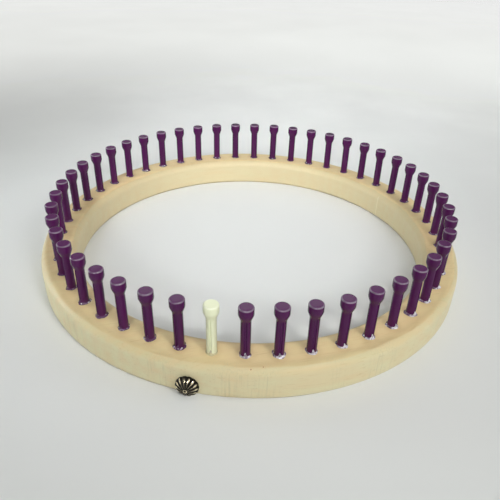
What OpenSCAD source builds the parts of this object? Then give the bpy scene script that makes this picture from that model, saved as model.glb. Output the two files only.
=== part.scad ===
// Round knitting loom: a flat wooden ring carries a closed row of grooved pegs that are
// glued into blind holes. One pale peg marks where the row starts, and a fluted tack
// beside it on the outer wall holds the tail of the yarn.
// The ring's axis is Z, its underside lies on Z = 0, and the start peg stands on -Y.

/* [Gauge] */
// Number of pegs round the ring, the start peg included
peg_count = 48; // [36:1:56]
// Distance from one peg to the next along the peg circle
peg_pitch = 15.875; // [13:0.125:20]

/* [Ring] */
// Width of the ring from its inner wall to its outer wall
ring_width = 21.2; // [17:0.1:32]
// Thickness of the board that the ring is cut from
ring_height = 19.05; // [17:0.05:26]
// Radius of the rounded top edges
top_round = 4.76; // [2:0.01:6]
// Radius of the eased bottom edges
bottom_round = 2; // [0.5:0.1:4]

/* [Peg] */
// Height of a peg above the top of the ring
peg_height = 28.3; // [22:0.1:36]
// Diameter of the straight shank
shank_diameter = 5; // [4:0.1:6]
// Diameter of the head
head_diameter = 7.5; // [6.5:0.1:9.5]
// Length of the straight side of the head, its rounded rim included
head_length = 4; // [2.5:0.1:6]
// Length of the flared neck between shank and head
neck_length = 3.9; // [2:0.1:6]
// Radius of the rounded rim of the head
rim_round = 0.6; // [0.2:0.1:1.2]
// Width of the hook groove down the outward side
groove_width = 1.2; // [0.8:0.1:1.8]
// Depth of the hook groove
groove_depth = 0.7; // [0.4:0.1:1.2]
// Chamfer at the lower end of the stem
lead_in = 0.6; // [0.2:0.1:1.2]

/* [Glue joint] */
// Depth of the blind hole that the stem stands in
hole_depth = 12; // [8:0.5:14]
// Gap round the stem that the glue fills
glue_gap = 0.05; // [0.02:0.01:0.2]
// Reach of the glue bead over the top of the ring
bead_reach = 0.9; // [0.4:0.1:1.5]
// Height of the glue bead up the shank
bead_rise = 0.9; // [0.4:0.1:1.5]

/* [Anchor tack] */
// Diameter of the tack's head
tack_diameter = 11.6; // [8:0.1:14]
// Height of the tack's head off the wall, without its boss
tack_rise = 3.5; // [3:0.1:5.5]
// Height of the straight rim round the tack's head
tack_rim = 0.6; // [0.3:0.1:1.2]
// Number of petals between the flutes
petal_count = 14; // [8:1:18]
// Radius of a flute where it leaves the boss
flute_start = 0.15; // [0.05:0.05:0.3]
// Radius of a flute past the rim
flute_end = 0.75; // [0.4:0.05:1]
// Diameter of the boss in the middle of the head
boss_diameter = 2.2; // [1.6:0.1:3]
// Height of the boss above the petals
boss_rise = 0.35; // [0.1:0.05:0.8]
// Diameter of the nail
nail_diameter = 1.6; // [1:0.1:2.4]
// Length of the nail in the wood
nail_length = 13; // [8:0.5:15]
// Length of the nail's point
nail_point = 2.5; // [1:0.1:4]
// Gap round the driven nail
nail_gap = 0.02; // [0:0.01:0.1]
// Distance of the tack from the start peg, along the peg circle
tack_offset = 9; // [6:0.1:10]
// Clearance between the tack's head and the table
tack_clearance = 0.15; // [0:0.05:4]

/* [Hidden] */
$fn = 96;
// Extra length of a cut past the face that it opens
past = 1;
// Share of a flute's half by which it runs on past its end
flute_lap = 0.3;
neck_steps = 8;
rim_steps = 5;
bead_steps = 4;
start_angle = -90;

peg_circle = peg_count * peg_pitch / (2 * PI);
inner_radius = peg_circle - ring_width / 2;
outer_radius = peg_circle + ring_width / 2;

shank_radius = shank_diameter / 2;
head_radius = head_diameter / 2;
shank_length = peg_height - head_length - neck_length;
groove_radius = groove_width / 2;
groove_centre = shank_radius - groove_depth + groove_radius;
hole_radius = shank_radius + glue_gap;

tack_radius = tack_diameter / 2;
tack_level = tack_radius + tack_clearance;
tack_angle = start_angle - tack_offset / peg_circle * 180 / PI;
nail_radius = nail_diameter / 2;
boss_radius = boss_diameter / 2;
dome_rise = tack_rise - tack_rim;
dome_radius = (tack_radius ^ 2 + dome_rise ^ 2) / (2 * dome_rise);
dome_centre = tack_rise - dome_radius;

// Angle of a peg about the ring's axis, counted from the start peg
function peg_angle(index) = start_angle + index * 360 / peg_count;

// Name of a peg: its place in the row, the start peg being the first
function peg_name(index) = str("peg_", index < 9 ? "0" : "", index + 1);

// Share of the neck's flare that is reached at a share of its length
function flare(t) = (t + t * t * (3 - 2 * t)) / 2;

// Height of the dome at a distance from the tack's axis
function dome_level(distance) = dome_centre + sqrt(dome_radius ^ 2 - distance ^ 2);

// Share of the bead's height that is left at a share of its reach
function sag(t) = (1 - t) ^ 2 * (1 - t / 4);

// Puts a peg's own frame, with +X outward and Z = 0 on the top of the ring, at its place
module at_peg(index) {
    rotate([0, 0, peg_angle(index)])
        translate([peg_circle, 0, ring_height])
            children();
}

// Puts the tack's own frame, with +Z outward and Z = 0 on the outer wall, at its place
module at_tack() {
    rotate([0, 0, tack_angle])
        translate([outer_radius, 0, tack_level])
            rotate([0, 90, 0])
                children();
}

// Section of the ring: a board with rounded top edges and eased bottom edges
module ring_section() {
    flat_height = ring_height - top_round - bottom_round;
    translate([inner_radius, bottom_round])
        square([ring_width, flat_height]);
    translate([inner_radius + top_round, ring_height - top_round])
        square([ring_width - 2 * top_round, top_round]);
    translate([inner_radius + bottom_round, 0])
        square([ring_width - 2 * bottom_round, bottom_round]);
    for (x = [inner_radius + top_round, outer_radius - top_round])
        translate([x, ring_height - top_round])
            circle(r = top_round);
    for (x = [inner_radius + bottom_round, outer_radius - bottom_round])
        translate([x, bottom_round])
            circle(r = bottom_round);
}

// Half outline of a peg, from the foot of the stem to the top of the head
module peg_outline() {
    rim_centre = [head_radius - rim_round, peg_height - rim_round];
    polygon(concat(
        [
            [0, -hole_depth],
            [shank_radius - lead_in, -hole_depth],
            [shank_radius, lead_in - hole_depth],
            [shank_radius, shank_length]
        ],
        [
            for (step = [1 : neck_steps])
                let (t = step / neck_steps)
                [
                    shank_radius + (head_radius - shank_radius) * flare(t),
                    shank_length + neck_length * t
                ]
        ],
        [
            for (step = [0 : rim_steps])
                let (turn = 90 * step / rim_steps)
                rim_centre + rim_round * [cos(turn), sin(turn)]
        ],
        [[0, peg_height]]));
}

// A peg in its own frame: the turned form with the hook groove cut down its outward side
module peg_form() {
    difference() {
        rotate_extrude()
            peg_outline();
        translate([groove_centre, 0, -hole_depth - past]) {
            cylinder(h = hole_depth + past + shank_length, r = groove_radius);
            translate([0, 0, hole_depth + past + shank_length])
                sphere(r = groove_radius);
        }
    }
}

// Half outline of a glue bead, solid to the axis
module bead_outline() {
    polygon(concat(
        [[0, 0], [0, bead_rise]],
        [
            for (step = [0 : bead_steps])
                let (t = step / bead_steps)
                [shank_radius + bead_reach * t, bead_rise * sag(t)]
        ]));
}

// The nail in the tack's frame, widened by a gap for its pilot hole
module nail_form(gap = 0) {
    straight = nail_length - nail_point;
    translate([0, 0, -straight])
        cylinder(h = straight, r = nail_radius + gap);
    translate([0, 0, -nail_length - gap])
        cylinder(h = nail_point + gap, r1 = 0, r2 = nail_radius + gap);
}

// Domed head of the tack on its straight rim
module tack_dome() {
    cylinder(h = tack_rim, r = tack_radius);
    intersection() {
        translate([0, 0, dome_centre])
            sphere(r = dome_radius);
        translate([0, 0, tack_rim])
            cylinder(h = tack_rise, r = tack_radius + past);
    }
}

// One length of a flute: a cone between two points of the dome's section
module flute_length(low, high, low_radius, high_radius) {
    run = high - low;
    translate([low[0], 0, low[1]])
        rotate([0, atan2(run[0], run[1]), 0])
            cylinder(h = norm(run), r1 = low_radius, r2 = high_radius);
}

// One flute: two lapped cones up the flank of the dome, from past the rim to inside the boss
module flute() {
    root = boss_radius - 2 * flute_start;
    middle = (tack_radius + root) / 2;
    rim = [tack_radius, tack_rim];
    bend = [middle, dome_level(middle)];
    crown = [root, dome_level(root)];
    bend_radius = (flute_start + flute_end) / 2;
    flute_length(rim + (rim - bend) * flute_lap, bend + (bend - rim) * flute_lap, flute_end, bend_radius);
    flute_length(bend + (bend - crown) * flute_lap, crown, bend_radius, flute_start);
}

module ring() {
    color("burlywood")
        difference() {
            rotate_extrude($fn = 360)
                ring_section();
            for (index = [0 : peg_count - 1])
                at_peg(index)
                    translate([0, 0, -hole_depth])
                        cylinder(h = hole_depth + past, r = hole_radius);
            at_tack()
                nail_form(nail_gap);
        }
}

module start_peg() {
    color("ivory")
        at_peg(0)
            peg_form();
}

module peg(index) {
    color("indigo")
        at_peg(index)
            peg_form();
}

module glue_beads() {
    color("lavender")
        for (index = [0 : peg_count - 1])
            at_peg(index)
                difference() {
                    rotate_extrude()
                        bead_outline();
                    peg_form();
                }
}

module anchor_tack() {
    color("darkgoldenrod")
        at_tack() {
            difference() {
                tack_dome();
                for (petal = [0 : petal_count - 1])
                    rotate([0, 0, (petal + 0.5) * 360 / petal_count])
                        flute();
            }
            cylinder(h = tack_rise + boss_rise, r = boss_radius);
            nail_form();
        }
}

ring();
start_peg();
for (index = [1 : peg_count - 1])
    peg(index);
glue_beads();
anchor_tack();
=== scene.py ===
"""Dresses the round knitting loom: wooden ring, purple pegs, ivory start peg, glue beads and brass tack."""
import math

import bmesh
import bpy
import numpy as np
from bpy.props import FloatProperty, FloatVectorProperty, IntProperty, PointerProperty
from mathutils import Matrix, Vector


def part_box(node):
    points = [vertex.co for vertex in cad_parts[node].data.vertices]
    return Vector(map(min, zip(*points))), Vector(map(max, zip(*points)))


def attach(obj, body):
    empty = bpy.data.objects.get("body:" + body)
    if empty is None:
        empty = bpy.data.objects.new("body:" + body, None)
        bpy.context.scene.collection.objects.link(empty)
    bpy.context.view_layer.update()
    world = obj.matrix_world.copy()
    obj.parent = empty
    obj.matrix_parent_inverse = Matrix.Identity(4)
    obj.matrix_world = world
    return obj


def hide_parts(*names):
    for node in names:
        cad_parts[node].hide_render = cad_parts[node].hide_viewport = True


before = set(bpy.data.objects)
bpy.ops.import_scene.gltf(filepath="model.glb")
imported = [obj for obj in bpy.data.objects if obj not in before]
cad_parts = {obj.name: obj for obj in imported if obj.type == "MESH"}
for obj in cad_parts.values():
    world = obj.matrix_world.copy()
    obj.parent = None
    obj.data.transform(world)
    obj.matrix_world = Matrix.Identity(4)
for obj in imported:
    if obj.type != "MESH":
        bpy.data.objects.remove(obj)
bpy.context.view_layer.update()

bl_info = {
    "name": "Round knitting loom",
    "version": (1, 0, 0),
    "blender": (4, 5, 0),
    "location": "View3D > Sidebar > Loom",
    "description": "Builds the ring, pegs, glue and tack of a round knitting loom over its CAD frame",
    "category": "Object",
}

MM = 0.001
DEGREE = math.pi / 180
BODY = "root"
START = -math.pi / 2
STAGE_SIDES = 96
FLOOR_REACH, WALL_REACH, WALL_FOOT, WALL_TOP = 6, 4, -2, 1.6
PEG_NODES = sorted(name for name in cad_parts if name.startswith("peg_"))
RING_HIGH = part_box("ring")[1]
PEG_LOW, PEG_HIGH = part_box("start_peg")
TACK_LOW, TACK_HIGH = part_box("anchor_tack")


# Settings

def setting(kind, **limits):
    """A short way to declare settings of one kind, each by its description and its default."""
    return lambda description, default: kind(description=description, default=default, **limits)


length = setting(FloatProperty, unit="LENGTH", precision=5)
turn = setting(FloatProperty, unit="ROTATION")
amount = setting(FloatProperty, min=0)
power = setting(FloatProperty, min=0, unit="POWER")
number = setting(IntProperty, min=3)
paint = setting(FloatVectorProperty, size=3, min=0, max=1, subtype="COLOR")
spot = setting(FloatVectorProperty, size=3, unit="LENGTH", subtype="TRANSLATION", precision=5)


class LoomRing(bpy.types.PropertyGroup):
    """Sizes and wood of the ring."""
    outer_radius: length("Radius of the outer wall", RING_HIGH[0])
    width: length("From the inner wall to the outer wall", 21.2 * MM)
    height: length("Thickness of the board", RING_HIGH[2])
    top_round: length("Radius of the rounded top edges", 4.76 * MM)
    bottom_round: length("Radius of the eased bottom edges", 2 * MM)
    hole_radius: length("Radius of a peg hole", 2.55 * MM)
    grain_turn: turn("Direction of the grain, about the ring's axis", 24 * DEGREE)
    top_wood: paint("Tan face of the board", (0.685, 0.555, 0.288))
    side_wood: paint("Paler wood of the walls", (0.635, 0.59, 0.37))
    # Darker than the outer walls, partly as painted shade on the inner wall.
    inner_wood_and_shade: paint("Wood of the inner wall", (0.565, 0.465, 0.28))
    warm_wood: paint("Warmer patches in the grain", (0.66, 0.44, 0.23))
    # Darker partly as end grain and partly as painted shade on the rounded edges.
    edge_wood_and_shade: paint("End grain of the rounded edges", (0.55, 0.48, 0.27))
    # Also the colour of the painted shade round the peg feet.
    scorch: paint("Brown left by the cutter along the top edges", (0.4, 0.25, 0.11))
    knot: paint("Brown of a pin knot", (0.2, 0.1, 0.04))
    first_knot: spot("Middle of a pin knot", (0.01985, -0.12861, 0.01796))
    second_knot: spot("Middle of a pin knot", (0.02532, -0.12663, 0.01858))
    seam_turn: turn("Place of the faint seam in the inner wall", 38.2 * DEGREE)


class LoomPegs(bpy.types.PropertyGroup):
    """Sizes and plastic of the pegs."""
    count: number("Pegs round the ring, the start peg included", 48)
    circle: length("Radius of the circle that the pegs stand on", 121.277 * MM)
    height: length("Peg above the top of the ring", PEG_HIGH[2] - RING_HIGH[2])
    stem: length("Peg below the top of the ring", RING_HIGH[2] - PEG_LOW[2])
    shank_radius: length("Radius of the straight shank", 2.5 * MM)
    head_radius: length("Radius of the head", 3.75 * MM)
    head_length: length("Straight side of the head, its rim included", 4 * MM)
    neck_length: length("Flare between shank and head", 3.9 * MM)
    rim_round: length("Radius of the head's rim", 0.8 * MM)
    groove_radius: length("Radius of the hook groove", 0.6 * MM)
    groove_depth: length("Depth of the hook groove", 0.7 * MM)
    lean: turn("Most that a peg leans out of true", 0.55 * DEGREE)
    twist: turn("Most that a peg's groove turns from straight outwards", 5 * DEGREE)
    purple: paint("Moulded purple plastic", (0.061, 0.005, 0.058))
    ivory: paint("Moulded ivory plastic", (0.71, 0.73, 0.51))


class LoomGlue(bpy.types.PropertyGroup):
    """Sizes and finish of the glue beads."""
    reach: length("Bead over the top of the ring", 0.8 * MM)
    rise: length("Bead up the shank", 0.9 * MM)
    tongue: length("Glue up the hook groove", 2.3 * MM)
    wobble: length("Unevenness of the beads", 0.4 * MM)
    # Also the colour of the painted reflection on the lit side of the beads.
    tint: paint("Glue that dried milky", (0.93, 0.9, 0.97))
    clear: paint("Clear glue with the peg showing through", (0.11, 0.03, 0.115))
    over_wood: paint("Clear glue round the start peg, over the wood", (0.74, 0.66, 0.4))


class LoomTack(bpy.types.PropertyGroup):
    """Sizes and finish of the anchor tack."""
    offset: length("From the start peg, along the peg circle", 8.7 * MM)
    radius: length("Radius of the head", (TACK_HIGH[2] - TACK_LOW[2]) / 2)
    level: length("Middle of the head above the table", (TACK_HIGH[2] + TACK_LOW[2]) / 2)
    rise: length("Top of the head off the wall, without its boss", 4.7 * MM)
    gap: length("Underside of the head off the wall", 0.8 * MM)
    rim: length("Straight rim of the head", 0.7 * MM)
    tilt: turn("Head turned up and towards the start peg", 4 * DEGREE)
    petals: number("Petals round the head", 14)
    flute_depth: length("Depth of the flutes at the rim", 0.75 * MM)
    boss_radius: length("Radius of the boss in the middle", 1.1 * MM)
    boss_rise: length("Boss above the petals", 0.35 * MM)
    nail_radius: length("Radius of the nail", 0.8 * MM)
    nail_length: length("Nail in the wood", 13 * MM)
    nail_point: length("Length of the nail's point", 2.5 * MM)
    brass: paint("Rubbed brass on the ridges", (0.76, 0.66, 0.45))
    tarnish: paint("Dark brass in the hollows", (0.012, 0.009, 0.006))


class LoomStage(bpy.types.PropertyGroup):
    """Floor, light and camera."""
    floor: paint("Plain pale floor", (0.7, 0.705, 0.68))
    haze: amount("Paleness of the far floor to the camera", 0.46)
    backdrop: amount("Paleness of the backdrop, 1 being white", 0.8)
    sky_front: amount("Light from the front", 0.05)
    sky_back: amount("Light from above and behind", 0.16)
    key_power: power("Narrow lamp aimed at the far side", 0.27)
    front_power: power("Small panel in front, to the right", 6.7)
    right_power: power("Low panel on the right", 3.1)
    left_power: power("Low narrow panel on the left", 0.23)
    back_power: power("High panel behind", 4.4)
    top_power: power("Panel overhead", 0.6)
    azimuth: turn("Camera to the right of the front", 7.81 * DEGREE)
    elevation: turn("Camera above the horizon", 32.09 * DEGREE)
    distance: length("Camera from the middle of the ring", 0.36063)
    roll: turn("Camera tilted sideways", 1.877 * DEGREE)
    lens: amount("Focal length in millimetres", 38.07)


# Meshes

def closed_mesh(name, points, faces, crease=35):
    """A smooth closed mesh whose sharp edges stay sharp, with its normals outwards."""
    mesh = bpy.data.meshes.new(name)
    work = bmesh.new()
    corners = [work.verts.new(point) for point in points]
    for face in faces:
        work.faces.new([corners[index] for index in face])
    bmesh.ops.remove_doubles(work, verts=work.verts[:], dist=1e-6)
    bmesh.ops.recalc_face_normals(work, faces=work.faces[:])
    work.to_mesh(mesh)
    work.free()
    mesh.shade_smooth()
    mesh.set_sharp_from_angle(angle=math.radians(crease))
    return mesh


def piece(context, name, mesh, material, slot, *nodes):
    """Puts a finished mesh in the scene as a piece that stands for CAD nodes."""
    made = bpy.data.objects.new(name, mesh)
    context.scene.collection.objects.link(made)
    mesh.materials.clear()
    mesh.materials.append(material)
    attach(made, BODY)
    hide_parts(*nodes)


def band_faces(rows, columns, loop=False):
    """Quads between neighbouring closed rows of points. With loop, the last row meets the first."""
    faces = []
    for row in range(rows if loop else rows - 1):
        above = (row + 1) % rows
        for column in range(columns):
            beside = (column + 1) % columns
            faces.append((row * columns + column, row * columns + beside,
                          above * columns + beside, above * columns + column))
    return faces


def capped(rows, foot, tip):
    """Points and faces of closed rows of points, shut by a point at each end."""
    count, columns = len(rows), len(rows[0])
    points = np.concatenate([*rows, [foot, tip]]).tolist()
    faces = band_faces(count, columns)
    last = (count - 1) * columns
    for column in range(columns):
        beside = (column + 1) % columns
        faces.append((count * columns, beside, column))
        faces.append((count * columns + 1, last + column, last + beside))
    return points, faces


def around_axis(radius, angles, level):
    """One row of points round the Z axis."""
    radius, level = np.broadcast_to(radius, angles.shape), np.broadcast_to(level, angles.shape)
    return np.column_stack([radius * np.cos(angles), radius * np.sin(angles), level])


def arc(centre, radius, first, last, steps):
    """Points of an arc in a section, from one angle to another in degrees."""
    angles = [math.radians(angle) for angle in np.linspace(first, last, steps + 1)]
    return [(centre[0] + radius * math.cos(angle), centre[1] + radius * math.sin(angle)) for angle in angles]


def mark_points(mesh, name, value_of):
    """Stores a number from 0 to 1 on each point of a mesh."""
    kept = mesh.attributes.new(name, "FLOAT", "POINT")
    for vertex in mesh.vertices:
        kept.data[vertex.index].value = min(1, max(0, value_of(*vertex.co)))


def toned(colour, factor, lift=0):
    """A colour made lighter or darker."""
    return tuple(min(1, value * factor + lift) for value in colour)


# Nodes

class Nodes:
    """Short ways to add nodes to one tree."""

    def __init__(self, tree):
        self.tree = tree

    def put(self, socket, value):
        """Links a value to a socket, or sets it there."""
        if isinstance(value, bpy.types.NodeSocket):
            self.tree.links.new(value, socket)
        else:
            socket.default_value = value

    def fill(self, node, inputs):
        """Sets or links inputs of a node, by name or place."""
        for key, value in inputs.items():
            self.put(node.inputs[key], value)
        return node

    def add(self, kind, inputs=None, **values):
        """A node with its values set, and its inputs set or linked."""
        made = self.tree.nodes.new(kind)
        for key, value in values.items():
            setattr(made, key, value)
        return self.fill(made, inputs or {})

    def group(self, group, vector, **values):
        """The outputs of a node group placed with its own values."""
        inputs = {label.replace("_", " "): value for label, value in values.items()}
        return self.add("ShaderNodeGroup", {"Vector": vector, **inputs}, node_tree=group).outputs

    def math(self, operation, first, second=0):
        """The result of a Math node."""
        return self.add("ShaderNodeMath", {0: first, 1: second}, operation=operation).outputs[0]

    def times(self, first, second):
        """The product of two values."""
        return self.math("MULTIPLY", first, second)

    def plus(self, first, second):
        """The sum of two values."""
        return self.math("ADD", first, second)

    def minus(self, first, second):
        """The difference of two values."""
        return self.math("SUBTRACT", first, second)

    def vector(self, operation, first, second=(0, 0, 0)):
        """The result of a Vector Math node."""
        made = self.add("ShaderNodeVectorMath", {0: first, 1: second}, operation=operation)
        return made.outputs["Value" if operation in ("LENGTH", "DISTANCE", "DOT_PRODUCT") else "Vector"]

    def parts(self, vector):
        """The three parts of a vector."""
        return self.add("ShaderNodeSeparateXYZ", {0: vector}).outputs

    def join(self, first, second, third=0):
        """A vector from its three parts."""
        return self.add("ShaderNodeCombineXYZ", {0: first, 1: second, 2: third}).outputs[0]

    def from_axis(self, place):
        """How far a place is from the Z axis."""
        return self.vector("LENGTH", self.vector("MULTIPLY", place, (1, 1, 0)))

    def attribute(self, name):
        """A number stored on the mesh."""
        return self.add("ShaderNodeAttribute", attribute_name=name).outputs["Fac"]

    def stretched(self, vector, scale, rotation=(0, 0, 0)):
        """A place in a frame that is turned and stretched."""
        inputs = {"Vector": vector, "Rotation": rotation, "Scale": scale}
        return self.add("ShaderNodeMapping", inputs, vector_type="TEXTURE").outputs[0]

    def spread(self, value, low, high, first=0, last=1, kind="LINEAR"):
        """A clamped change of range, straight unless another kind is given."""
        inputs = {"Value": value, "From Min": low, "From Max": high, "To Min": first, "To Max": last}
        return self.add("ShaderNodeMapRange", inputs, interpolation_type=kind).outputs[0]

    def ease(self, value, low, high, first=0, last=1):
        """A smooth step of a value from low to high."""
        return self.spread(value, low, high, first, last, "SMOOTHSTEP")

    def mix(self, factor, first, second, blend="MIX"):
        """The result of a colour mix."""
        made = self.add("ShaderNodeMix", {0: factor}, data_type="RGBA", blend_type=blend)
        for place, value in ((6, first), (7, second)):
            self.put(made.inputs[place], value if isinstance(value, bpy.types.NodeSocket) else (*value, 1))
        return made.outputs[2]

    def coats(self, colour, layers):
        """A colour under layers, each with its share, its own colour and perhaps its blend."""
        for share, *layer in layers:
            colour = self.mix(share, colour, *layer)
        return colour

    def noise(self, vector, scale, detail=2, roughness=0.5, distortion=0):
        """Fac of a noise texture."""
        inputs = {"Vector": vector, "Scale": scale, "Detail": detail, "Roughness": roughness,
                  "Distortion": distortion}
        return self.add("ShaderNodeTexNoise", inputs).outputs[0]

    def bump(self, height, strength, distance):
        """A bumped normal."""
        inputs = {"Height": height, "Strength": strength, "Distance": distance}
        return self.add("ShaderNodeBump", inputs).outputs[0]


def seen_rays(tree):
    """One for the rays of the camera, of glossy surfaces and of glass, nought for those that carry light."""
    rays = tree.add("ShaderNodeLightPath").outputs
    mirrored = tree.math("MAXIMUM", rays["Is Glossy Ray"], rays["Is Transmission Ray"])
    return tree.math("MAXIMUM", rays["Is Camera Ray"], mirrored)


def new_material(name):
    """A bare material: its tree, its Principled BSDF and its Object coordinates."""
    material = bpy.data.materials.new(name)
    material.use_nodes = True
    tree = Nodes(material.node_tree)
    surface = material.node_tree.nodes["Principled BSDF"]
    place = tree.add("ShaderNodeTexCoord").outputs["Object"]
    return material, tree, surface, place


def new_group(name, scales, outputs):
    """A shader node group with a Vector and some scales: its tree, its inputs and its output sockets."""
    group = bpy.data.node_groups.new(name, "ShaderNodeTree")
    group.interface.new_socket("Vector", in_out="INPUT", socket_type="NodeSocketVector")
    for label, default in scales.items():
        socket = group.interface.new_socket(label, in_out="INPUT", socket_type="NodeSocketFloat")
        socket.default_value = default
    for label in outputs:
        group.interface.new_socket(label, in_out="OUTPUT", socket_type="NodeSocketFloat")
    tree = Nodes(group)
    return group, tree, tree.add("NodeGroupInput").outputs, tree.add("NodeGroupOutput").inputs


def handling_group():
    """Marks of use on any hard surface: soft smudges and fine hairline scratches."""
    if "handling_marks" in bpy.data.node_groups:
        return bpy.data.node_groups["handling_marks"]
    scales = {"Smudge scale": 90, "Scratch scale": 260}
    group, tree, given, out = new_group("handling_marks", scales, ("Smudge", "Scratch"))
    place = given["Vector"]
    smudge = tree.noise(place, given["Smudge scale"], 3, 0.55)
    tree.put(out["Smudge"], tree.ease(smudge, 0.38, 0.68))
    lines = []
    for angles, stretch in (((0.3, 0.2, 0.7), 0.05), ((1.1, 0.5, 2.1), 0.07)):
        turned = tree.stretched(place, (1, 1, 1 / stretch), angles)
        streak = tree.noise(turned, given["Scratch scale"], 1, 0.4)
        thin = tree.math("ABSOLUTE", tree.minus(streak, 0.5))
        lines.append(tree.spread(thin, 0, 0.012, 1, 0))
    sparse = tree.ease(tree.noise(place, 140, 1), 0.52, 0.66)
    tree.put(out["Scratch"], tree.times(tree.math("MAXIMUM", *lines), sparse))
    return group


def moulded_group():
    """Skin of a moulded plastic: faint flow marks in the tone and a fine orange peel in the height."""
    if "moulded_skin" in bpy.data.node_groups:
        return bpy.data.node_groups["moulded_skin"]
    group, tree, given, out = new_group("moulded_skin", {"Peel scale": 1400}, ("Flow", "Peel"))
    place = given["Vector"]
    tree.put(out["Flow"], tree.noise(tree.stretched(place, (1, 1, 18)), 700, 2, 0.5, 0.3))
    peel = tree.noise(place, given["Peel scale"], 1, 0.4)
    tree.put(out["Peel"], tree.plus(peel, tree.times(tree.noise(place, 330, 1), 1.6)))
    return group


# Materials

def wood_material(ring, pegs):
    """Sanded pale board: tan on the face, paler where the edges were rounded and on the walls, with painted
    shade on the rounded edges, the inner wall, the outer border and round the peg feet.
    """
    material, tree, surface, place = new_material("ring_wood")
    outer, inner, top = ring.outer_radius, ring.outer_radius - ring.width, ring.height
    across, back, level = tree.parts(place)
    around = tree.math("ARCTAN2", back, across)
    reach = tree.from_axis(place)

    # Grain
    fibre = tree.stretched(place, (16, 1, 1), (0.05, 0.03, ring.grain_turn))
    waves = {"Vector": fibre, "Scale": 52, "Distortion": 5, "Detail Scale": 0.7}
    figure = tree.add("ShaderNodeTexWave", waves, bands_direction="Y").outputs[1]
    cloud = tree.noise(place, 17)
    streak = tree.noise(fibre, 210, 3, 0.6)
    fine = tree.noise(fibre, 1150, 3, 0.6)

    # Face with a wandering border, burnt in places
    border = top - 0.56 * MM
    wander = tree.spread(tree.noise(place, 55, 3), 0.3, 0.7, -0.32 * MM, 0.32 * MM)
    drawn = tree.plus(level, wander)
    face = tree.ease(drawn, border - 0.26 * MM, border + 0.26 * MM)
    near = tree.math("ABSOLUTE", tree.minus(drawn, border + 0.12 * MM))
    burnt = tree.times(tree.ease(near, 0, 0.42 * MM, 1, 0),
                       tree.ease(tree.noise(place, 32, 3, 0.6), 0.42, 0.72))
    # The rounded edges take the edge wood, which is darker partly as painted shade.
    rounded = tree.ease(level, top - ring.top_round, top - 1.2 * MM)
    wood = tree.mix(face, tree.mix(rounded, ring.side_wood, ring.edge_wood_and_shade), ring.top_wood)
    layers = [
        (tree.times(tree.ease(cloud, 0.42, 0.7), tree.spread(face, 0, 1, 0.1, 0.34)), ring.warm_wood),
        (tree.spread(figure, 0.2, 1, 0, 0.14), ring.warm_wood),
        (tree.spread(streak, 0.4, 0.72, 0, 0.28), ring.warm_wood),
        (tree.times(tree.ease(fine, 0.56, 0.72), 0.24), ring.scorch),
        (tree.times(burnt, 0.4), ring.scorch),
    ]

    # Painted shade: darker towards the outer border, on the start peg's half
    brink_shade = tree.times(tree.ease(reach, outer - 8 * MM, outer - 2.6 * MM, 0, 0.19),
                       tree.ease(back, -0.09, 0, 1, 0))
    layers.append((tree.times(brink_shade, face), (0.2, 0.2, 0.2), "MULTIPLY"))

    # Stain and painted contact shade round the foot of each peg
    pitch = 2 * math.pi / pegs.count
    phase = tree.math("FRACT", tree.plus(tree.math("DIVIDE", around, pitch), 0.5))
    aside = tree.times(tree.minus(phase, 0.5), pitch * pegs.circle)
    from_foot = tree.vector("LENGTH", tree.join(aside, tree.minus(reach, pegs.circle)))
    foot_stain_and_shade = tree.times(tree.ease(from_foot, 2.8 * MM, 6.8 * MM, 0.34, 0),
                       tree.spread(tree.noise(place, 120), 0.35, 0.65, 0.35, 1))
    layers.append((tree.times(foot_stain_and_shade, face), ring.scorch))

    # Upright sanding marks in patches of the outer wall
    sweep, squash, patch_shift = 0.132, 0.05, (0.027, 0, 0)
    wall_place = tree.join(tree.times(around, sweep), tree.times(level, squash), reach)
    patches = tree.noise(tree.vector("SUBTRACT", wall_place, patch_shift), 30, 1)
    sanding = tree.times(tree.ease(tree.noise(wall_place, 1300, 2, 0.6), 0.46, 0.68),
                         tree.ease(patches, 0.45, 0.65))
    outside = tree.ease(reach, outer - 6 * MM, outer - 3 * MM)
    sanding = tree.times(sanding, tree.spread(outside, 0, 1, 0.08, 1))
    layers.append((tree.times(sanding, 0.4), toned(ring.side_wood, 0.66)))

    # Inner wall, darkened partly as painted shade, and its faint seam
    layers.append((tree.ease(reach, inner + 0.5 * MM, inner + 4 * MM, 0.55, 0), ring.inner_wood_and_shade))
    from_seam = tree.times(tree.math("ABSOLUTE", tree.minus(around, ring.seam_turn)), inner)
    inside = tree.ease(reach, inner, inner + 1.2 * MM, 1, 0)
    seam = tree.times(tree.ease(from_seam, 0.12 * MM, 0.4 * MM, 1, 0), inside)
    layers.append((tree.times(seam, 0.35), (0.9, 0.82, 0.62)))

    # Pin knots with a warm halo
    for middle, size in ((ring.first_knot, 0.48 * MM), (ring.second_knot, 0.4 * MM)):
        ragged = tree.spread(tree.noise(place, 1800), 0.3, 0.7, -0.1 * MM, 0.1 * MM)
        away = tree.plus(tree.vector("LENGTH", tree.vector("SUBTRACT", place, middle)), ragged)
        layers.append((tree.ease(away, size * 0.5, size * 2.2, 0.42, 0), ring.warm_wood))
        layers.append((tree.ease(away, size * 0.35, size, 0.85, 0), ring.knot))

    # Marks of use, gloss and relief
    marks = tree.group(handling_group(), place, Smudge_scale=42, Scratch_scale=150)
    layers.append((tree.times(marks["Smudge"], 0.05), ring.warm_wood))
    rough = tree.minus(tree.spread(streak, 0.3, 0.7, 0.5, 0.6), tree.times(marks["Smudge"], 0.07))
    relief = tree.times(fine, 0.7)
    for height, share in ((streak, 0.6), (sanding, -0.5), (marks["Scratch"], -0.3)):
        relief = tree.plus(relief, tree.times(height, share))
    tree.fill(surface, {"Base Color": tree.coats(wood, layers), "Roughness": rough,
                        "Normal": tree.bump(relief, 0.16, 0.1 * MM)})
    return material


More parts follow.
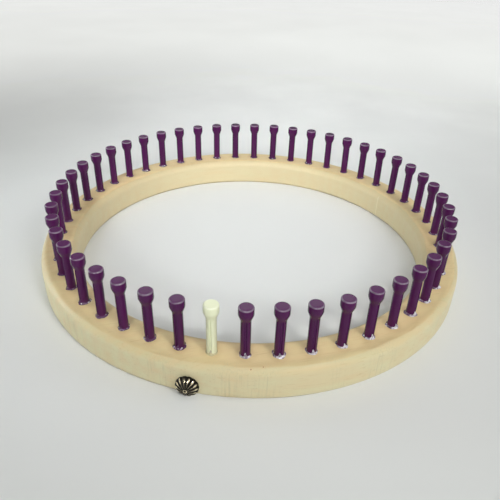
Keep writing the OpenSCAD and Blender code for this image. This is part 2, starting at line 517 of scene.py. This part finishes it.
def plastic_material(name, colour, gloss, deep, pale, painted_top_sheen):
    """Moulded plastic with flow and handling marks, a top made paler as painted sheen, a polished rim also
    painted paler, partly as wear and partly as a painted highlight, and a tone for each peg.
    """
    material, tree, surface, place = new_material(name)
    skin = tree.group(moulded_group(), place)
    marks = tree.group(handling_group(), place, Smudge_scale=240, Scratch_scale=420)
    polish_and_glint = tree.times(tree.attribute("rim"), tree.spread(marks["Smudge"], 0, 1, 1, 0.6))
    top = PEG_HIGH[2]
    deep, pale, painted_top_sheen = (toned(colour, *tone) for tone in (deep, pale, painted_top_sheen))
    base = tree.coats(colour, [
        (tree.spread(tree.attribute("tone"), 0, 1, 0, 0.55), deep),
        (tree.spread(skin["Flow"], 0.35, 0.75, 0, 0.2), pale),
        (tree.times(marks["Scratch"], 0.1), pale),
        # Painted sheen: the top of the head is made paler in place of its reflection.
        (tree.ease(tree.parts(place)[2], top - 0.55 * MM, top - 0.15 * MM, 0, 0.9), painted_top_sheen),
        # The polished rim is also painted paler, partly as wear and partly as a painted highlight.
        (tree.times(polish_and_glint, 0.35), pale)])
    rough = tree.plus(tree.spread(skin["Flow"], 0.3, 0.7, gloss - 0.01, gloss + 0.01),
                      tree.times(marks["Smudge"], 0.02))
    tree.fill(surface, {"Base Color": base, "Roughness": rough, "IOR": 1.34, "Coat Weight": polish_and_glint,
                        "Coat IOR": 2.3, "Coat Roughness": 0.28,
                        "Normal": tree.bump(skin["Peel"], 0.03, 0.03 * MM)})
    return material


def glue_material(glue, pegs, ring):
    """Hard glue with fine bubbles: milky white on the outward side from the start peg round to the right,
    partly milky glue and partly a painted reflection of the light from the front right, broken into painted
    glints; clear on the rest.
    """
    material, tree, surface, place = new_material("clear_glue")
    lit_way = (0.766, -0.643, 0)
    cloud = tree.noise(place, 900)
    side = tree.math("DIVIDE", tree.vector("DOT_PRODUCT", place, lit_way), pegs.circle)
    side = tree.plus(side, tree.spread(tree.noise(place, 240, 1), 0.3, 0.7, -0.03, 0.03))
    milk_glint_colour = tree.mix(tree.spread(cloud, 0.35, 0.7, 0, 0.6), glue.tint, (0.78, 0.72, 0.84))
    from_start = tree.vector("DISTANCE", place, (0, -pegs.circle, ring.height))
    outward = tree.ease(tree.from_axis(place), pegs.circle + 0.6 * MM, pegs.circle + 2.4 * MM)
    # Painted reflection: milky white on the outward side of the beads on the lit front right, broken into
    # glints, partly real milky glue.
    milky_and_glint = tree.times(tree.ease(side, 0.66, 0.73), tree.plus(0.15, tree.times(outward, 0.85)))
    glints = tree.spread(tree.noise(place, 620, 1), 0.42, 0.56, 0.25, 1)
    base = tree.coats(glue.clear, [
        (tree.ease(cloud, 0.56, 0.7), glue.tint),
        (tree.ease(from_start, 5 * MM, 7 * MM, 1, 0), glue.over_wood)])
    rough = tree.spread(tree.noise(place, 1600), 0.3, 0.7, 0.03, 0.1)
    tree.fill(surface, {"Base Color": tree.mix(tree.times(milky_and_glint, glints), base, milk_glint_colour), "Roughness": rough,
                        "IOR": 1.47, "Transmission Weight": 0.35,
                        "Normal": tree.bump(tree.noise(place, 700), 0.25, 0.15 * MM)})
    return material


def brass_material(tack):
    """Antique brass: rubbed bright on the ridges and dark in the hollows."""
    material, tree, surface, place = new_material("antique_brass")
    marks = tree.group(handling_group(), place, Smudge_scale=900, Scratch_scale=1500)
    grime = tree.noise(place, 1500, 3, 0.6)
    uneven = tree.spread(grime, 0.3, 0.7, -0.22, 0.22)
    dark = tree.ease(tree.plus(tree.attribute("hollow"), uneven), 0.12, 0.62)
    rough = tree.plus(tree.spread(dark, 0, 1, 0.17, 0.42), tree.times(marks["Smudge"], 0.08))
    relief = tree.minus(grime, tree.times(marks["Scratch"], 0.4))
    tree.fill(surface, {"Base Color": tree.mix(dark, tack.brass, tack.tarnish), "Roughness": rough,
                        "Metallic": tree.spread(dark, 0, 1, 1, 0.75),
                        "Normal": tree.bump(relief, 0.1, 0.06 * MM)})
    return material


# Rows round the peg circle

def row_tree():
    """Geometry Nodes that stand one shape at each place of the peg circle, each a little out of true."""
    if "peg_circle_row" in bpy.data.node_groups:
        return bpy.data.node_groups["peg_circle_row"]
    group = bpy.data.node_groups.new("peg_circle_row", "GeometryNodeTree")
    for kind, labels in (("Object", ("Shape",)), ("Int", ("Count", "First", "Places", "Seed")),
                         ("Float", ("Start", "Circle", "Level", "Lean", "Twist", "Spread", "Wobble"))):
        for label in labels:
            group.interface.new_socket(label, in_out="INPUT", socket_type="NodeSocket" + kind)
    group.interface.new_socket("Row", in_out="OUTPUT", socket_type="NodeSocketGeometry")
    tree = Nodes(group)
    given = tree.add("NodeGroupInput").outputs

    def chance(low, high, offset):
        """A random number for each place."""
        inputs = {2: low, 3: high, "Seed": tree.plus(given["Seed"], offset)}
        return tree.add("FunctionNodeRandomValue", inputs).outputs[1]

    def swing(most, offset):
        """A random number between minus and plus an amount."""
        return chance(tree.times(most, -1), most, offset)

    # Places and how a shape stands on each
    index = tree.plus(tree.add("GeometryNodeInputIndex").outputs[0], given["First"])
    step = tree.math("DIVIDE", 2 * math.pi, given["Places"])
    angle = tree.plus(given["Start"], tree.times(index, step))
    place = tree.join(tree.times(given["Circle"], tree.math("COSINE", angle)),
                      tree.times(given["Circle"], tree.math("SINE", angle)), given["Level"])
    points = tree.add("GeometryNodePoints", {"Count": given["Count"], "Position": place}).outputs[0]
    stand = tree.join(swing(given["Lean"], 1), swing(given["Lean"], 2),
                      tree.plus(angle, swing(given["Twist"], 3)))
    turned = tree.add("FunctionNodeEulerToRotation", {0: stand}).outputs[0]
    wide = tree.plus(1, swing(tree.times(given["Spread"], 0.4), 4))
    size = tree.join(wide, wide, tree.plus(1, swing(given["Spread"], 5)))

    # Shapes on the places, each with its own tone
    shape = tree.add("GeometryNodeObjectInfo", {"Object": given["Shape"], "As Instance": True})
    row = tree.add("GeometryNodeInstanceOnPoints", {"Points": points, "Instance": shape.outputs["Geometry"],
                                                    "Rotation": turned, "Scale": size})
    tone = {"Geometry": row.outputs[0], "Name": "tone", "Value": chance(0, 1, 6)}
    kept = tree.add("GeometryNodeStoreNamedAttribute", tone, domain="INSTANCE")
    real = tree.add("GeometryNodeRealizeInstances", {0: kept.outputs[0]}).outputs[0]

    # Unevenness where the mesh is free to move
    free = tree.add("GeometryNodeInputNamedAttribute", {"Name": "free"}).outputs[0]
    uneven = tree.add("ShaderNodeTexNoise", {"Scale": 330, "Detail": 1}).outputs[1]
    push = {0: tree.vector("SUBTRACT", uneven, (0.5, 0.5, 0.5)), 3: tree.times(free, given["Wobble"])}
    offset = tree.add("ShaderNodeVectorMath", push, operation="SCALE").outputs[0]
    moved = tree.add("GeometryNodeSetPosition", {"Geometry": real, "Offset": offset}).outputs[0]
    tree.add("NodeGroupOutput", {0: moved})
    return group


def row_piece(context, name, mesh, material, slot, *nodes, **values):
    """A piece made of one shape repeated round the peg circle, as a plain mesh."""
    scene = context.scene
    shape = bpy.data.objects.new(name + "_shape", mesh)
    carrier = bpy.data.objects.new(name + "_row", bpy.data.meshes.new(name + "_row"))
    scene.collection.objects.link(shape)
    scene.collection.objects.link(carrier)
    tree = row_tree()
    sockets = {item.name: item.identifier for item in tree.interface.items_tree if item.in_out == "INPUT"}
    modifier = carrier.modifiers.new("row", "NODES")
    modifier.node_group = tree
    pegs, ring = scene.loom.pegs, scene.loom.ring
    plain = {"Shape": shape, "Count": pegs.count, "First": 0, "Places": pegs.count, "Start": START,
             "Circle": pegs.circle, "Level": ring.height, "Lean": 0.0, "Twist": 0.0, "Spread": 0.0,
             "Wobble": 0.0}
    for label, value in {**plain, **values}.items():
        modifier[sockets[label]] = value
    carrier.update_tag()
    context.view_layer.update()
    graph = context.evaluated_depsgraph_get()
    result = bpy.data.meshes.new_from_object(carrier.evaluated_get(graph), preserve_all_data_layers=True,
                                             depsgraph=graph)
    result.name = name
    if not result.polygons:
        raise RuntimeError(f"the row {name} came out empty")
    carrier.modifiers.remove(modifier)
    for used in (carrier, shape):
        bpy.data.objects.remove(used)
    piece(context, name, result, material, slot, *nodes)


def groove_of(pegs):
    """Middle of the hook groove from a peg's axis, and half the angle of its mouth."""
    shank, groove = pegs.shank_radius, pegs.groove_radius
    centre = shank - pegs.groove_depth + groove
    return centre, math.acos((shank ** 2 + centre ** 2 - groove ** 2) / (2 * shank * centre))


def groove_section(pegs, radius, depth):
    """One row of a peg's points at a radius; depth runs from 0, a plain circle, to 1, the full groove."""
    shank = pegs.shank_radius
    centre, mouth = groove_of(pegs)
    lip = math.atan2(shank * math.sin(mouth), shank * math.cos(mouth) - centre)

    def circle(middle, size, angles):
        """Points of a circle about a middle on the X axis."""
        return np.stack([middle + size * np.cos(angles), size * np.sin(angles)], axis=1)

    outer = circle(0, radius, np.linspace(mouth, 2 * math.pi - mouth, 34))
    plain = circle(0, radius, np.linspace(-mouth, mouth, 11)[1:-1])
    inner = circle(centre, pegs.groove_radius, np.linspace(2 * math.pi - lip, lip, 11)[1:-1])
    return np.concatenate([outer, plain * (1 - depth) + inner * depth])


def peg_mesh(pegs):
    """One peg in its own frame: +X outwards, Z = 0 on the top of the ring."""
    shank, head, top = pegs.shank_radius, pegs.head_radius, pegs.height
    lead_in, sunk, dish = 0.6 * MM, 0.8 * MM, 0.045 * MM
    foot_groove, rim_shine_reach = 0.55, 0.59
    straight = top - pegs.head_length - pegs.neck_length
    rows = [(-pegs.stem, shank - lead_in, foot_groove), (lead_in - pegs.stem, shank, 1)]
    rows += [(level, shank, 1) for level in np.linspace(-sunk, straight, 6)]
    stops = [(straight + pegs.groove_radius * up, math.sqrt(1 - up * up)) for up in (0.35, 0.65, 0.88, 1)]
    stops += [(straight + pegs.neck_length * t, 0) for t in (0.28, 0.4, 0.52, 0.64, 0.76, 0.88, 1)]
    for level, depth in stops:
        t = (level - straight) / pegs.neck_length
        flare = (t + t * t * (3 - 2 * t)) / 2
        rows.append((level, shank + (head - shank) * flare, depth))
    rows.append((top - pegs.head_length * 0.6, head, 0))
    rim = arc((head - pegs.rim_round, top - pegs.rim_round), pegs.rim_round, 0, 90, 6)
    rows += [(level, radius, 0) for radius, level in rim]
    rows += [(top - 0.015 * MM, head * 0.66, 0), (top - 0.04 * MM, head * 0.3, 0)]
    skins = []
    for level, radius, depth in rows:
        section = groove_section(pegs, radius, depth)
        skins.append(np.column_stack([section, np.full(len(section), level)]))
    mesh = closed_mesh("peg_form", *capped(skins, (0, 0, -pegs.stem), (0, 0, top - dish)), crease=32)

    def on_rim(x, y, z):
        """Nearness of a point to the sharp rim that was rounded away."""
        away = math.hypot(math.hypot(x, y) - head, z - top) / pegs.rim_round
        return (1 - away) / rim_shine_reach

    mark_points(mesh, "rim", on_rim)
    return mesh


# Pieces

class LOOM_OT_ring(bpy.types.Operator):
    """Builds the wooden ring with its rounded edges and blind peg holes"""
    bl_idname = "loom.ring"
    bl_label = "Ring"

    def execute(self, context):
        ring, pegs = context.scene.loom.ring, context.scene.loom.pegs
        outer, inner = ring.outer_radius, ring.outer_radius - ring.width
        top, edge, ease = ring.height, ring.top_round, ring.bottom_round
        parts, sides = 10, 8
        half = math.pi / pegs.count

        # Walls, rounded edges and underside, all the way round
        section = []
        for across, level, radius, first, steps, run in (
                (inner + edge, top - edge, edge, 90, 12, 0), (inner + ease, ease, ease, 180, 5, 7),
                (outer - ease, ease, ease, 270, 5, 5), (outer - edge, top - edge, edge, 0, 12, 7)):
            curve = arc((across, level), radius, first, first + 90, steps)
            if section:
                section += np.linspace(section[-1], curve[0], run)[1:-1].tolist()
            section += curve
        turns = START - half + np.arange(pegs.count * parts) * 2 * half / parts
        rows = [around_axis(across, turns, level) for across, level in section]
        points = np.concatenate(rows).tolist()
        faces = band_faces(len(rows), len(turns))

        # One tile of the face with a peg hole in it, about the peg's axis
        low, high = inner + edge, outer - edge
        swing = np.linspace(-half, half, parts + 1)
        reach = np.linspace(low, high, sides + 1)
        tile = [(high, angle) for angle in swing[:-1]] + [(across, half) for across in reach[:0:-1]]
        tile += [(low, angle) for angle in swing[:0:-1]] + [(across, -half) for across in reach[:-1]]
        tile = np.array([(across * math.cos(angle) - pegs.circle, across * math.sin(angle))
                         for across, angle in tile])
        away = tile / np.linalg.norm(tile, axis=1)[:, None]
        chamfer, spare_depth = 0.12 * MM, 0.05 * MM
        mouth, wall = away * (ring.hole_radius + chamfer), away * ring.hole_radius
        loops = [(tile, top), (tile * 0.55 + mouth * 0.45, top), (tile * 0.2 + mouth * 0.8, top),
                 (mouth, top), (wall, top - chamfer), (wall, top - (pegs.stem + spare_depth))]
        columns = len(tile)
        tile_faces = band_faces(len(loops), columns)
        tile_faces.append(range((len(loops) - 1) * columns, len(loops) * columns))

        # The tile at each peg
        for index in range(pegs.count):
            angle = START + index * 2 * half
            out = np.array([math.cos(angle), math.sin(angle)])
            beside = np.array([-math.sin(angle), math.cos(angle)])
            base = len(points)
            for loop, level in loops:
                flat = out * (pegs.circle + loop[:, :1]) + beside * loop[:, 1:]
                points += [(x, y, level) for x, y in flat]
            faces += [[base + corner for corner in face] for face in tile_faces]
        mesh = closed_mesh("wooden_ring", points, faces)
        piece(context, "wooden_ring", mesh, wood_material(ring, pegs), "ring_wood", "ring")
        return {"FINISHED"}


class LOOM_OT_purple_pegs(bpy.types.Operator):
    """Builds the purple pegs, each with its groove outwards"""
    bl_idname = "loom.purple_pegs"
    bl_label = "Purple pegs"

    def execute(self, context):
        pegs = context.scene.loom.pegs
        material = plastic_material("purple_plastic", pegs.purple, 0.22, deep=(0.72, 0), pale=(1.25, 0.003),
                                    painted_top_sheen=(1.12, 0.004))
        row_piece(context, "purple_pegs", peg_mesh(pegs), material, "peg_purple", *PEG_NODES,
                  Count=pegs.count - 1, First=1, Lean=pegs.lean, Twist=pegs.twist, Seed=11)
        return {"FINISHED"}


class LOOM_OT_start_peg(bpy.types.Operator):
    """Builds the ivory peg that marks the start of the row"""
    bl_idname = "loom.start_peg"
    bl_label = "Start peg"

    def execute(self, context):
        pegs = context.scene.loom.pegs
        material = plastic_material("ivory_plastic", pegs.ivory, 0.36, deep=(0.93, 0), pale=(1.04, 0.01),
                                    painted_top_sheen=(1.04, 0.01))
        row_piece(context, "ivory_peg", peg_mesh(pegs), material, "peg_ivory", "start_peg", Count=1, Seed=3)
        return {"FINISHED"}


class LOOM_OT_glue(bpy.types.Operator):
    """Builds the uneven glue bead round the foot of each peg"""
    bl_idname = "loom.glue"
    bl_label = "Glue beads"

    def execute(self, context):
        loom = context.scene.loom
        glue, pegs, ring = loom.glue, loom.pegs, loom.ring
        shank, groove = pegs.shank_radius, pegs.groove_radius
        centre, mouth = groove_of(pegs)
        sunk, skin, held = 0.04 * MM, 0.03 * MM, 0.4 * MM
        tongue_width, slump, least = 1.25, 0.93, 0.4
        angles = np.concatenate([np.linspace(-mouth, mouth, 9),
                                 np.linspace(mouth, 2 * math.pi - mouth, 31)[1:-1]])
        columns = []
        for angle in angles:
            out, along = math.cos(angle), math.sin(angle)
            in_groove = out > math.cos(mouth) - 1e-9
            inside = math.sqrt(max(groove ** 2 - (centre * along) ** 2, 0))
            wall = (centre * out - inside if in_groove else shank) - sunk
            lift = max(0, 1 - (abs(math.atan2(along, out)) / (mouth * tongue_width)) ** 2)
            rise = glue.rise * (1 + 0.16 * math.sin(3 * angle + 0.6)) + (glue.tongue - glue.rise) * lift
            spread = glue.reach * (1 + 0.22 * math.sin(2 * angle + 1.1) + 0.14 * math.sin(5 * angle))
            column = [(wall, -sunk), (wall, rise), (shank + skin, rise * slump)]
            for t in (0.12, 0.28, 0.48, 0.72, 1):
                drop = (1 - t) ** 2 * (1 - t / 4)
                column.append((shank + skin + spread * t, max(rise * drop, glue.rise * drop * least)))
            column.append((shank + spread, -sunk))
            columns.append([(radius * out, radius * along, level) for radius, level in column])
        rows = list(zip(*columns))
        points = np.concatenate(rows).tolist()
        mesh = closed_mesh("glue_bead", points, band_faces(len(rows), len(angles), loop=True), crease=60)

        def freedom(x, y, z):
            """How far a point may wander: nought on the peg and under the bead."""
            return (math.hypot(x, y) - shank) / held if z > -sunk / 2 else 0

        mark_points(mesh, "free", freedom)
        material = glue_material(glue, pegs, ring)
        row_piece(context, "glue_beads_clear", mesh, material, "clear_glue", "glue_beads",
                  Spread=0.16, Wobble=glue.wobble, Seed=23)
        return {"FINISHED"}


class LOOM_OT_tack(bpy.types.Operator):
    """Builds the fluted brass tack with its nail in the outer wall"""
    bl_idname = "loom.tack"
    bl_label = "Anchor tack"

    def execute(self, context):
        loom = context.scene.loom
        tack, pegs, ring = loom.tack, loom.pegs, loom.ring
        scallop, bulge, petal_columns = 0.055, 2.2, 12
        columns = tack.petals * petal_columns
        angles = np.arange(columns) * 2 * math.pi / columns
        phase = (angles * tack.petals / (2 * math.pi)) % 1
        aside = 2 * np.abs(phase - 0.5)
        hollow = 1 - np.sqrt(np.clip(1 - aside ** bulge, 0, 1))
        dome_rise = tack.rise - tack.gap - tack.rim
        dome_radius = (tack.radius ** 2 + dome_rise ** 2) / (2 * dome_rise)
        nail, straight = tack.nail_radius, tack.nail_length - tack.nail_point
        rim = tack.radius * (1 - scallop * hollow)

        # Radius, level and darkness of each row, from the nail's point to the boss
        rows = [
            (nail * 0.25, -tack.nail_length + tack.nail_point * 0.2, 0.3),
            (nail, -straight, 0.3),
            (nail, -straight / 2, 0.3),
            (nail, tack.gap, 0.3),
            (tack.radius * 0.75, tack.gap, 0.9),
            (rim * 0.985, tack.gap, 0.9),
            (rim, tack.gap + 0.12 * MM, 0.9),
            (rim, tack.gap + tack.rim * (0.85 - 0.5 * hollow), 0.9),
        ]
        for t in np.linspace(0, 1, 15)[1:]:
            out = tack.radius * (1 - t) + tack.boss_radius * 1.12 * t
            dome = tack.rise - dome_radius + math.sqrt(dome_radius ** 2 - out ** 2)
            depth = tack.flute_depth * (0.25 + 0.75 * (1 - t) ** 0.7)
            rubbed = 0.03 + 0.34 * math.exp(-((t - 0.24) / 0.15) ** 2)
            dark = (aside - rubbed) / 0.26 + 0.3 * t + 0.9 * max(0, 1 - t / 0.14)
            rows.append((out * (1 - scallop * hollow * (1 - t) ** 3), dome - depth * hollow,
                         np.clip(dark, 0, 1)))
        boss, boss_top = tack.boss_radius, tack.rise + tack.boss_rise
        rows += [
            (boss, tack.rise - 0.3 * MM, 1),
            (boss * 0.98, boss_top - 0.16 * MM, 0.7),
            (boss * 0.86, boss_top - 0.03 * MM, 0.25),
            (boss * 0.7, boss_top, 0.15),
            (boss * 0.54, boss_top - 0.06 * MM, 0.3),
            (boss * 0.38, boss_top - 0.24 * MM, 0.8),
        ]
        skins = [around_axis(radius, angles, level) for radius, level, dark in rows]
        points, faces = capped(skins, (0, 0, -tack.nail_length), (0, 0, boss_top - 0.27 * MM))
        darkness = [np.broadcast_to(dark, angles.shape) for radius, level, dark in rows] + [(0.3, 1)]

        # Tilted, with its nail in the wall
        angle = START - tack.offset / pegs.circle
        stand = (Matrix.Rotation(angle, 4, "Z") @ Matrix.Translation((ring.outer_radius, 0, tack.level))
                 @ Matrix.Rotation(math.pi / 2 - tack.tilt, 4, "Y") @ Matrix.Rotation(-tack.tilt, 4, "X"))
        mesh = bpy.data.meshes.new("brass_tack")
        mesh.from_pydata([stand @ Vector(point) for point in points], [], faces)
        mesh.shade_smooth()
        mesh.set_sharp_from_angle(angle=math.radians(55))
        kept = mesh.attributes.new("hollow", "FLOAT", "POINT")
        kept.data.foreach_set("value", np.concatenate(darkness).astype(np.float32))
        piece(context, "brass_tack", mesh, brass_material(tack), "antique_brass", "anchor_tack")
        return {"FINISHED"}


# Stage

class LOOM_OT_stage(bpy.types.Operator):
    """Sets up the floor, the light and the camera"""
    bl_idname = "loom.stage"
    bl_label = "Stage"

    def execute(self, context):
        stage, scene = context.scene.loom.stage, context.scene
        scene.view_settings.view_transform = "Standard"
        self.lay_floor(scene, stage)
        self.hang_backdrop(scene, stage)
        self.light(scene, stage)
        self.place_camera(scene, stage)
        return {"FINISHED"}

    def hoop(self, radius, level):
        """Points of a wide circle."""
        angles = np.linspace(0, 2 * math.pi, STAGE_SIDES, endpoint=False)
        return around_axis(radius, angles, level).tolist()

    def set_up(self, scene, name, mesh, material):
        """Puts a mesh on the stage, where it belongs to no piece and is no lamp."""
        made = bpy.data.objects.new(name, mesh)
        scene.collection.objects.link(made)
        material.cycles.emission_sampling = "NONE"
        mesh.materials.append(material)

    def lay_floor(self, scene, stage):
        """A wide plain floor, paler towards the back as painted light, that fades out in front of the
        backdrop.
        """
        mesh = bpy.data.meshes.new("floor")
        mesh.from_pydata(self.hoop(FLOOR_REACH, 0), [], [range(STAGE_SIDES)])
        material, tree, surface, place = new_material("pale_floor")
        pale = stage.floor
        # Painted light: the floor is paler towards the back.
        light = tree.mix(tree.ease(tree.parts(place)[1], -0.05, 0.45), pale, toned(pale, 1.3))
        distance = tree.vector("LENGTH", place)
        far = tree.plus(tree.ease(distance, 0.17, 0.8, 0, stage.haze),
                        tree.ease(distance, 0.7, 2, 0, stage.haze))
        tree.fill(surface, {"Base Color": tree.mix(tree.noise(place, 9, 3), toned(pale, 0.97), light),
                            "Roughness": 0.8, "Alpha": tree.ease(distance, 0.7, 2, 1, 0),
                            "Emission Color": light,
                            "Emission Strength": tree.times(seen_rays(tree), far)})
        self.set_up(scene, "floor", mesh, material)

    def hang_backdrop(self, scene, stage):
        """A pale wall round the floor that only the camera, glossy surfaces and glass see."""
        mesh = bpy.data.meshes.new("backdrop")
        points = self.hoop(WALL_REACH, WALL_FOOT) + self.hoop(WALL_REACH, WALL_TOP)
        mesh.from_pydata(points, [], band_faces(2, STAGE_SIDES))
        material, tree, surface, place = new_material("pale_backdrop")
        pale = tree.mix(tree.noise(place, 0.8, 1), (0.97, 0.98, 1), (1, 1, 0.99))
        tree.fill(surface, {"Base Color": (0.05, 0.05, 0.05, 1), "Specular IOR Level": 0,
                            "Emission Color": pale,
                            "Emission Strength": tree.times(seen_rays(tree), stage.backdrop)})
        self.set_up(scene, "backdrop", mesh, material)

    def light(self, scene, stage):
        """A soft sky that brightens towards the back, a key lamp and five panels."""
        world = bpy.data.worlds.new("soft_sky")
        scene.world = world
        world.use_nodes = True
        tree = Nodes(world.node_tree)
        way = tree.add("ShaderNodeTexCoord").outputs["Generated"]
        back = tree.vector("DOT_PRODUCT", way, Vector((-0.25, 0.8, 0.55)).normalized())
        tree.fill(world.node_tree.nodes["Background"], {
            "Color": (0.97, 0.985, 1, 1),
            "Strength": tree.ease(back, -0.7, 0.9, stage.sky_front, stage.sky_back)})
        for name, tint, spread, size, place, aim in (
                ("key", (0.96, 0.98, 1), 21, (0.3, 0.3), (-0.1, -0.75, 0.62), (-0.02, 0.17, 0)),
                ("front", (1, 1, 1), 180, (0.24, 0.24), (0.62, -0.66, 0.8), (0, 0, 0)),
                ("right", (0.9, 0.98, 1), 180, (0.35, 0.3), (1.1, -0.02, 0.5), (0, 0, 0)),
                ("left", (0.9, 0.98, 1), 70, (0.16, 0.16), (-0.56, -0.03, 0.13), (0, 0, 0.06)),
                ("back", (0.97, 0.99, 1), 180, (1.2, 0.5), (-0.1, 0.95, 1.1), (0, 0, 0)),
                ("top", (1, 1, 1), 180, (0.5, 0.5), (0, 0.05, 1.2), (0, 0.05, 0))):
            lamp = bpy.data.lights.new(name, "AREA")
            lamp.shape = "RECTANGLE"
            lamp.size, lamp.size_y = size
            lamp.energy = getattr(stage, name + "_power")
            lamp.color = tint
            lamp.spread = math.radians(spread)
            made = bpy.data.objects.new(name, lamp)
            made.location = place
            made.rotation_euler = (Vector(aim) - Vector(place)).to_track_quat("-Z", "Y").to_euler()
            scene.collection.objects.link(made)

    def place_camera(self, scene, stage):
        """A camera that looks at the middle of the ring's underside."""
        lens = bpy.data.cameras.new("camera")
        lens.lens = stage.lens
        lens.clip_start = 0.01
        made = bpy.data.objects.new("camera", lens)
        scene.collection.objects.link(made)
        flat, middle = math.cos(stage.elevation), Vector((0, 0, 0.0007))
        towards = Vector((flat * math.sin(stage.azimuth), -flat * math.cos(stage.azimuth),
                          math.sin(stage.elevation)))
        look = towards.to_track_quat("Z", "Y").to_matrix().to_4x4()
        made.matrix_world = (Matrix.Translation(towards * stage.distance + middle) @ look
                             @ Matrix.Rotation(stage.roll, 4, "Z"))
        scene.camera = made


# Panel

class LOOM_PT_panel(bpy.types.Panel):
    """Shows the settings of each part and builds it"""
    bl_idname = "LOOM_PT_panel"
    bl_label = "Round knitting loom"
    bl_space_type = "VIEW_3D"
    bl_region_type = "UI"
    bl_category = "Loom"

    def draw(self, context):
        for part, operators in PARTS.items():
            box = self.layout.box()
            group = getattr(context.scene.loom, part)
            for name in group.__annotations__:
                box.prop(group, name, text=name.replace("_", " ").capitalize())
            for operator in operators:
                box.operator(operator.bl_idname)


class LoomSettings(bpy.types.PropertyGroup):
    """All settings of the loom."""
    ring: PointerProperty(type=LoomRing)
    pegs: PointerProperty(type=LoomPegs)
    glue: PointerProperty(type=LoomGlue)
    tack: PointerProperty(type=LoomTack)
    stage: PointerProperty(type=LoomStage)


PARTS = {
    "ring": (LOOM_OT_ring,),
    "pegs": (LOOM_OT_purple_pegs, LOOM_OT_start_peg),
    "glue": (LOOM_OT_glue,),
    "tack": (LOOM_OT_tack,),
    "stage": (LOOM_OT_stage,),
}
OPERATORS = sum(PARTS.values(), ())
CLASSES = (LoomRing, LoomPegs, LoomGlue, LoomTack, LoomStage, LoomSettings, *OPERATORS, LOOM_PT_panel)


def register():
    """Adds the loom's classes and its settings on the scene."""
    for cls in CLASSES:
        bpy.utils.register_class(cls)
    bpy.types.Scene.loom = PointerProperty(type=LoomSettings)


def unregister():
    """Takes the settings and the classes away again."""
    del bpy.types.Scene.loom
    for cls in reversed(CLASSES):
        bpy.utils.unregister_class(cls)


def main():
    """Builds every piece in order."""
    register()
    for operator in OPERATORS:
        getattr(bpy.ops.loom, operator.bl_idname.removeprefix("loom."))()
    bpy.context.view_layer.update()


if __name__ == "__main__":
    main()
